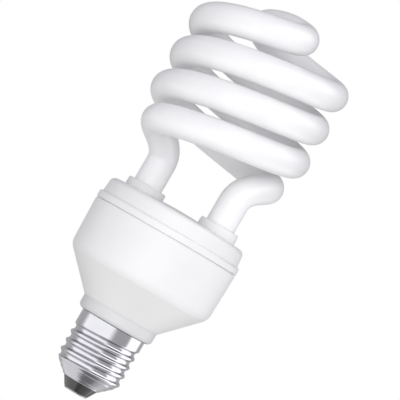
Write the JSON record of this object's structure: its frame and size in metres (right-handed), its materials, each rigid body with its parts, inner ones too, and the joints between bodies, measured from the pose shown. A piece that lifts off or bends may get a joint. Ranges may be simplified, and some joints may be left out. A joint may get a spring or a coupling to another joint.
{
  "type": "compact fluorescent lamp",
  "caption": "Spiral energy saving bulb: a white coiled glass tube on a white two-part casing, with an E27 screw cap.",
  "frame": {"origin": "middle of the centre contact's flat end, the lowest point of the lamp with its cap down", "axes": "+Z along the lamp's axis from the cap to the top of the coil; the tube's legs stand at 30 degrees to the front of +X and 30 degrees to the back of -X, and -Y faces the viewer"},
  "size_m": [0.0666, 0.0666, 0.1618],
  "materials": {
    "coated_glass": "satin",
    "cement": "matte",
    "cover_plastic": "satin",
    "housing_plastic": "satin",
    "cap_metal": "polished",
    "black_glass": "polished",
    "contact_metal": "satin",
    "board": "satin",
    "capacitor_sleeve": "satin",
    "ferrite": "matte",
    "bobbin_plastic": "matte",
    "enamelled_copper": "satin",
    "tinned_wire": "satin",
    "ring_core": "satin",
    "transistor_case": "matte",
    "film_red": "satin",
    "disc_blue": "satin",
    "disc_brown": "satin",
    "diode_case": "matte",
    "diac_glass": "polished",
    "resistor_lacquer": "satin",
    "fuse_lacquer": "satin",
    "black_wire": "satin",
    "white_wire": "satin"
  },
  "bodies": {
    "root": {"glass_tube": "coated_glass", "tube_cement": "cement", "cover": "cover_plastic", "housing": "housing_plastic", "screw_shell": "cap_metal", "insulator": "black_glass", "centre_contact": "contact_metal", "circuit_board": "board", "smoothing_capacitor": "capacitor_sleeve", "choke_core_front": "ferrite", "choke_core_back": "ferrite", "choke_bobbin": "bobbin_plastic", "choke_winding": "enamelled_copper", "choke_pins": "tinned_wire", "drive_toroid": "ring_core", "drive_windings": "enamelled_copper", "transistor_front": "transistor_case", "transistor_back": "transistor_case", "resonant_capacitor": "film_red", "blocking_capacitor": "film_red", "start_capacitor": "disc_blue", "preheat_thermistor": "disc_brown", "filter_choke_core": "ferrite", "filter_choke_winding": "enamelled_copper", "rectifier_diodes": "diode_case", "diac": "diac_glass", "resistors": "resistor_lacquer", "fuse_resistor": "fuse_lacquer", "wire_posts": "tinned_wire", "filament_leads": "tinned_wire", "contact_lead": "black_wire", "shell_lead": "white_wire"}
  },
  "joints": []
}
